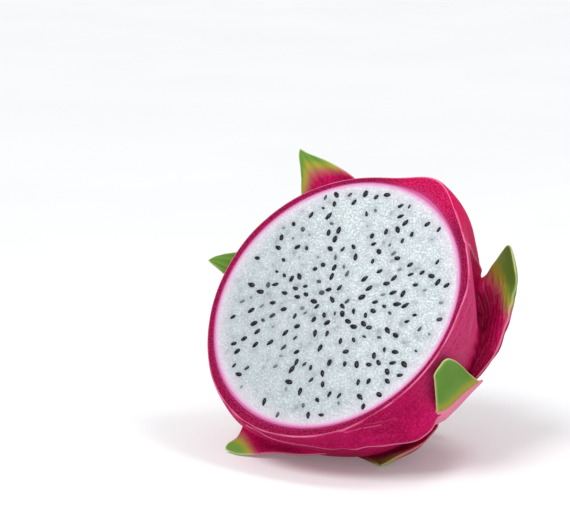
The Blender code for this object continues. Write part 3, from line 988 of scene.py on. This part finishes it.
class Nodes:
    """A short way to lay out a node tree."""

    def __init__(self, name):
        self.material = bpy.data.materials.new(name)
        self.material.use_nodes = True
        self.tree = self.material.node_tree
        self.shader = self.tree.nodes["Principled BSDF"]

    def feed(self, node, inputs):
        """Links or sets the node's inputs, named or numbered."""
        for key, value in inputs.items():
            socket = node.inputs[key.replace("_", " ") if isinstance(key, str) else key]
            if isinstance(value, bpy.types.NodeSocket):
                self.tree.links.new(value, socket)
            else:
                socket.default_value = value
        return node

    def add(self, kind, **inputs):
        return self.feed(self.tree.nodes.new("ShaderNode" + kind), inputs)

    def math(self, operation, a, b=0.0):
        node = self.add("Math")
        node.operation = operation
        return self.feed(node, {0: a, 1: b}).outputs[0]

    def times(self, a, b):
        return self.math("MULTIPLY", a, b)

    def between(self, value, low, high, out_low=0.0, out_high=1.0):
        """A soft ramp: out_low where the value is low, out_high where it is high."""
        node = self.add("MapRange", Value=value, From_Min=low, From_Max=high)
        node.interpolation_type = "SMOOTHSTEP"
        return self.feed(node, {"To Min": out_low, "To Max": out_high}).outputs["Result"]

    def mix(self, share, a, b):
        node = self.add("Mix")
        node.data_type = "RGBA"
        a, b = ((*v, 1.0) if isinstance(v, tuple) else v for v in (a, b))
        return self.feed(node, {0: share, 6: a, 7: b}).outputs[2]

    def noise(self, vector, scale, detail=2.0, roughness=0.5):
        node = self.add("TexNoise", Vector=vector, Scale=scale, Detail=detail, Roughness=roughness)
        return node.outputs["Fac"]

    def place(self):
        """A point's place in the fruit's own frame."""
        node = self.add("Mapping")
        node.vector_type = "TEXTURE"
        world = self.add("TexCoord").outputs["Object"]
        self.feed(node, {"Vector": world, "Location": FACE_CENTRE, "Rotation": (FACE_TILT, 0.0, HEADING)})
        return node.outputs["Vector"]

    def turn_and_height(self, place):
        """Degrees round the fruit's axis from its near right, and the height above the cut."""
        x, y, height = self.add("SeparateXYZ", Vector=place).outputs
        return self.math("DEGREES", self.math("ARCTAN2", y, x)), height

    def layer(self, name, output="Fac"):
        node = self.add("Attribute")
        node.attribute_name = name
        return node.outputs[output]

    def stretch(self, vector, scale):
        return self.add("Mapping", Vector=vector, Scale=scale).outputs["Vector"]

    def bump(self, height, distance, strength=1.0, normal=None):
        node = self.add("Bump", Height=height, Distance=distance, Strength=strength)
        if normal:
            self.feed(node, {"Normal": normal})
        return node.outputs["Normal"]

    def finish(self, **inputs):
        self.feed(self.shader, inputs)
        return self.material


def skin_material():
    n = Nodes("dragon_fruit_skin")
    place = n.place()
    grain = n.layer("grain", "Vector")
    broad = n.noise(place, 55.0, 3.0)
    fine = n.noise(place, 1500.0, 3.0, 0.7)
    pores = n.noise(place, 3800.0, 1.0)
    along = n.noise(n.stretch(grain, (1100.0, 90.0, 1.0)), 1.0, 3.0, 0.6)
    pink = n.mix(n.between(broad, 0.35, 0.68), (0.38, 0.003, 0.060), (0.58, 0.006, 0.110))
    pink = n.mix(n.between(along, 0.52, 0.74, 0.0, 0.55), pink, (0.76, 0.030, 0.20))
    turn, height = n.turn_and_height(place)
    shoulder = n.times(n.between(turn, 38.0, 46.0), n.between(turn, 92.0, 74.0))
    shoulder = n.times(shoulder, n.between(height, -36.0 * MM, -26.0 * MM, 0.0, 0.8))
    pink = n.mix(shoulder, pink, (0.66, 0.003, 0.085))
    # Painted sheen: a lighter, pinker patch on the near flank
    painted_flank_sheen = n.times(n.between(turn, -38.0, -8.0), n.between(turn, 42.0, 36.0))
    painted_flank_sheen = n.times(painted_flank_sheen, n.between(height, -24.0 * MM, -12.0 * MM, 0.0, 0.5))
    painted_flank_sheen = n.times(painted_flank_sheen, n.between(along, 0.35, 0.6, 0.55, 1.0))
    pink = n.mix(painted_flank_sheen, pink, (0.80, 0.11, 0.28))
    # Painted shade: the skin darker on its underside
    under = n.times(n.between(turn, -130.0, -95.0), n.between(turn, -30.0, -62.0))
    pink = n.mix(n.times(under, 0.30), pink, (0.16, 0.001, 0.04))
    pink = n.mix(n.between(fine, 0.50, 0.72, 0.0, 0.6), pink, (0.80, 0.035, 0.20))
    pink = n.mix(n.between(fine, 0.50, 0.30, 0.0, 0.6), pink, (0.24, 0.001, 0.035))
    green = n.layer("green")
    ragged = n.math("ADD", green, n.times(n.math("SUBTRACT", along, 0.5), 0.10))
    dusk = n.mix(n.between(ragged, -0.13, 0.02), pink, (0.42, 0.17, 0.10))
    olive = n.mix(n.between(ragged, -0.04, 0.08), dusk, (0.36, 0.34, 0.04))
    leaf = n.mix(n.between(broad, 0.3, 0.7), (0.105, 0.235, 0.028), (0.155, 0.30, 0.060))
    colour = n.mix(n.between(ragged, 0.03, 0.20), olive, leaf)
    # Painted highlight in pale pink, pale green where green, along thin edges, the lip and fold crests; on
    # the near-side bract also its own pale strip
    highlight_and_pale_strip = n.layer("highlight_and_pale_strip")
    pale = n.mix(n.between(ragged, -0.05, 0.10), (0.88, 0.30, 0.45), (0.62, 0.62, 0.28))
    colour = n.mix(n.between(highlight_and_pale_strip, 0.25, 0.9, 0.0, 0.7), colour, pale)
    # Painted highlight in patches along the skin's cut edge
    rim = n.between(height, -0.50 * MM, -0.12 * MM)
    patchy = n.between(n.noise(place, 90.0, 2.0), 0.36, 0.64, 0.0, 0.9)
    colour = n.mix(n.times(rim, patchy), colour, (0.84, 0.20, 0.38))
    relief = n.math("ADD", n.times(along, 0.35), n.times(pores, 0.3))
    normal = n.bump(relief, 0.12 * MM, 0.8)
    normal = n.bump(broad, 0.8 * MM, 0.35, normal)
    return n.finish(
        Base_Color=colour,
        Roughness=n.between(fine, 0.3, 0.7, 0.46, 0.60),
        Specular_IOR_Level=0.02,
        Normal=normal,
    )


def cut_material():
    n = Nodes("dragon_fruit_cut_rind")
    place = n.place()
    share = n.layer("ring")
    speck = n.noise(place, 1900.0, 2.0, 0.65)
    turn, _ = n.turn_and_height(place)
    # Painted light: the cut ring lighter at the shoulder, where the light falls
    shoulder = n.times(n.between(turn, 40.0, 58.0), n.between(turn, 96.0, 76.0))
    dark = n.mix(shoulder, (0.13, 0.001, 0.020), (0.33, 0.001, 0.045))
    light = n.mix(shoulder, (0.42, 0.008, 0.085), (0.70, 0.015, 0.125))
    colour = n.mix(n.between(speck, 0.40, 0.62), dark, light)
    dusty = n.times(n.between(share, 0.5, 0.1, 0.0, 0.5), n.between(speck, 0.3, 0.6, 0.5, 1.0))
    colour = n.mix(dusty, colour, (0.40, 0.045, 0.18))
    colour = n.mix(n.between(share, 0.20, 0.0, 0.0, 0.8), colour, (0.72, 0.24, 0.52))
    # Painted highlight: a light line along the ring's outer edge
    colour = n.mix(n.between(share, 0.92, 1.0, 0.0, 0.7), colour, (0.86, 0.26, 0.44))
    normal = n.bump(speck, 0.10 * MM, 0.8)
    return n.finish(Base_Color=colour, Roughness=0.5, Specular_IOR_Level=0.05, Normal=normal)


def pulp_material():
    n = Nodes("dragon_fruit_pulp")
    place = n.place()
    x, y, _ = n.add("SeparateXYZ", Vector=place).outputs
    out = n.math("SQRT", n.math("ADD", n.times(x, x), n.times(y, y)))
    turn = n.math("ARCTAN2", y, x)
    round_axis = n.add("CombineXYZ", X=n.math("COSINE", turn), Y=n.math("SINE", turn), Z=n.times(out, 45.0))
    fibres = n.noise(round_axis.outputs[0], 16.0, 3.0, 0.6)
    cloud = n.noise(place, 330.0, 4.0, 0.65)
    crumb = n.noise(place, 1400.0, 3.0, 0.7)
    colour = n.mix(n.between(cloud, 0.30, 0.70), (0.44, 0.49, 0.51), (0.60, 0.66, 0.68))
    colour = n.mix(n.between(fibres, 0.52, 0.72, 0.0, 0.6), colour, (0.72, 0.77, 0.78))
    # Light and dark specks: the flesh's own grain, partly painted glints and painted shade on its granules
    colour = n.mix(n.between(crumb, 0.48, 0.66, 0.0, 0.85), colour, (0.86, 0.90, 0.90))
    colour = n.mix(n.between(crumb, 0.48, 0.32, 0.0, 0.65), colour, (0.34, 0.39, 0.42))
    colour = n.mix(n.times(n.layer("ghost"), 0.85), colour, (0.16, 0.18, 0.21))
    # Painted shade: grey halos round the seeds
    near = n.times(n.layer("painted_seed_shade"), 0.6)
    colour = n.mix(near, colour, (0.33, 0.38, 0.42))
    # Painted shade: the flesh darker towards its lower left
    low = n.between(n.math("ADD", x, y), -45.0 * MM, 30.0 * MM)
    colour = n.mix(low, n.mix(0.34, colour, (0.28, 0.32, 0.35)), colour)
    blush = n.between(out, 37.0 * MM, 43.8 * MM, 0.0, 0.5)
    colour = n.mix(blush, colour, (0.78, 0.62, 0.74))
    colour = n.mix(n.between(out, 42.1 * MM, 43.9 * MM, 0.0, 0.95), colour, (0.74, 0.22, 0.48))
    normal = n.bump(crumb, 0.10 * MM, 0.6)
    normal = n.bump(cloud, 0.3 * MM, 0.4, normal)
    return n.finish(
        Base_Color=colour,
        Roughness=n.between(crumb, 0.3, 0.7, 0.3, 0.5),
        Specular_IOR_Level=0.3,
        Subsurface_Weight=0.35,
        Subsurface_Radius=(1.0, 0.9, 0.9),
        Subsurface_Scale=1.2 * MM,
        Normal=normal,
    )


def seed_material():
    n = Nodes("dragon_fruit_seed")
    fine = n.noise(n.place(), 2500.0, 2.0)
    colour = n.mix(n.between(fine, 0.4, 0.7), (0.006, 0.006, 0.007), (0.022, 0.022, 0.024))
    colour = n.mix(n.between(n.layer("veil"), 0.25, 1.0, 0.0, 0.75), colour, (0.30, 0.33, 0.36))
    normal = n.bump(fine, 0.05 * MM, 0.6)
    return n.finish(Base_Color=colour, Roughness=0.25, Specular_IOR_Level=0.2, Normal=normal)


def wood_material():
    n = Nodes("dragon_fruit_stalk")
    place = n.place()
    fibre = n.noise(n.stretch(place, (1600.0, 1600.0, 130.0)), 1.0, 4.0, 0.65)
    cloud = n.noise(place, 300.0, 3.0)
    colour = n.mix(n.between(fibre, 0.35, 0.7), (0.055, 0.045, 0.016), (0.24, 0.20, 0.085))
    colour = n.mix(n.between(cloud, 0.45, 0.7, 0.0, 0.6), colour, (0.10, 0.14, 0.035))
    normal = n.bump(fibre, 0.3 * MM, 0.9)
    return n.finish(Base_Color=colour, Roughness=0.78, Specular_IOR_Level=0.3, Normal=normal)


def floor_material():
    n = Nodes("pale_floor")
    dust = n.noise(n.place(), 9.0, 2.0)
    colour = n.mix(n.between(dust, 0.3, 0.7), (0.80, 0.80, 0.805), (0.82, 0.82, 0.825))
    return n.finish(
        Base_Color=colour,
        Roughness=0.85,
        Specular_IOR_Level=0.1,
        Emission_Color=(0.96, 0.98, 1.0, 1.0),
        Emission_Strength=0.14,
    )


# The photograph's framing, in its own pixels, and the view that goes with it
PHOTO_WIDTH = 570
PHOTO_MIDDLE = (285.0, 253.0)
FACE_CENTRE_PIXEL = (334.2, 302.2)
CAMERA_ELEVATION = math.radians(12.0)
LENS = 150.0
SENSOR = 36.0
MM_PER_PIXEL = 0.32

# The studio
FLOOR_GAP = 0.2 * MM
SKY = (0.955, 0.985, 1.0)
SKY_STRENGTH = 0.60
SUN_FROM = (-0.43, -0.38, 0.82)
SUN_SOFTNESS = math.radians(28.0)
SUN_STRENGTH = 1.62
LAMP_PLACE = (0.16, -0.02, 0.42)
LAMP_TARGET = (0.0, 0.0, 0.07)
LAMP_SIZE = 0.12
LAMP_WATTS = 0.45


def build_camera():
    focal = PHOTO_WIDTH * LENS / SENSOR
    up = Vector((0.0, math.sin(CAMERA_ELEVATION), math.cos(CAMERA_ELEVATION)))
    back = Vector((0.0, -math.cos(CAMERA_ELEVATION), math.sin(CAMERA_ELEVATION)))
    across = (FACE_CENTRE_PIXEL[0] - PHOTO_MIDDLE[0]) / focal
    down = (FACE_CENTRE_PIXEL[1] - PHOTO_MIDDLE[1]) / focal
    ray = Vector((across, 0.0, 0.0)) - up * down - back
    camera = bpy.data.objects.new("camera", bpy.data.cameras.new("camera"))
    camera.data.lens = LENS
    camera.data.sensor_width = SENSOR
    camera.data.clip_start = 0.01
    camera.data.clip_end = 20.0
    camera.location = FACE_CENTRE - ray * focal * MM_PER_PIXEL * MM
    camera.rotation_euler = (math.pi / 2.0 - CAMERA_ELEVATION, 0.0, 0.0)
    bpy.context.scene.collection.objects.link(camera)
    bpy.context.scene.camera = camera


def add_light(name, kind, place, towards, energy):
    """A lamp at a place, turned towards a point."""
    light = bpy.data.lights.new(name, kind)
    light.energy = energy
    made = bpy.data.objects.new(name, light)
    made.location = place
    made.rotation_euler = (Vector(towards) - Vector(place)).to_track_quat("-Z", "Y").to_euler()
    bpy.context.scene.collection.objects.link(made)
    return light


def build_studio():
    bm = bmesh.new()
    bmesh.ops.create_grid(bm, x_segments=8, y_segments=8, size=6.0)
    below = Matrix.Translation((0.0, 0.0, -FLOOR_GAP))
    floor = new_object("floor", mesh_of(bm, "floor"), floor_material(), below)
    scene = bpy.context.scene
    world = bpy.data.worlds.new("studio")
    world.use_nodes = True
    background = world.node_tree.nodes["Background"]
    background.inputs["Color"].default_value = (*SKY, 1.0)
    background.inputs["Strength"].default_value = SKY_STRENGTH
    scene.world = world
    sun = add_light("key", "SUN", SUN_FROM, (0.0, 0.0, 0.0), SUN_STRENGTH)
    sun.angle = SUN_SOFTNESS
    lamp = add_light("top", "AREA", LAMP_PLACE, LAMP_TARGET, LAMP_WATTS)
    lamp.shape = "DISK"
    lamp.size = LAMP_SIZE
    scene.view_settings.view_transform = "Standard"
    scene.view_settings.look = "None"


def main():
    skin = skin_material()
    rind = build_rind(skin, cut_material())
    places = seed_places()
    flesh = build_flesh(pulp_material(), places)
    seeds = build_seeds(seed_material(), places)
    stalk = build_stalk(wood_material())
    for piece, node in ((rind, "rind"), (flesh, "flesh"), (seeds, "flesh"), (stalk, "stalk")):
        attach(settle(piece), "root")
        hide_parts(node)
    build_studio()
    build_camera()


main()
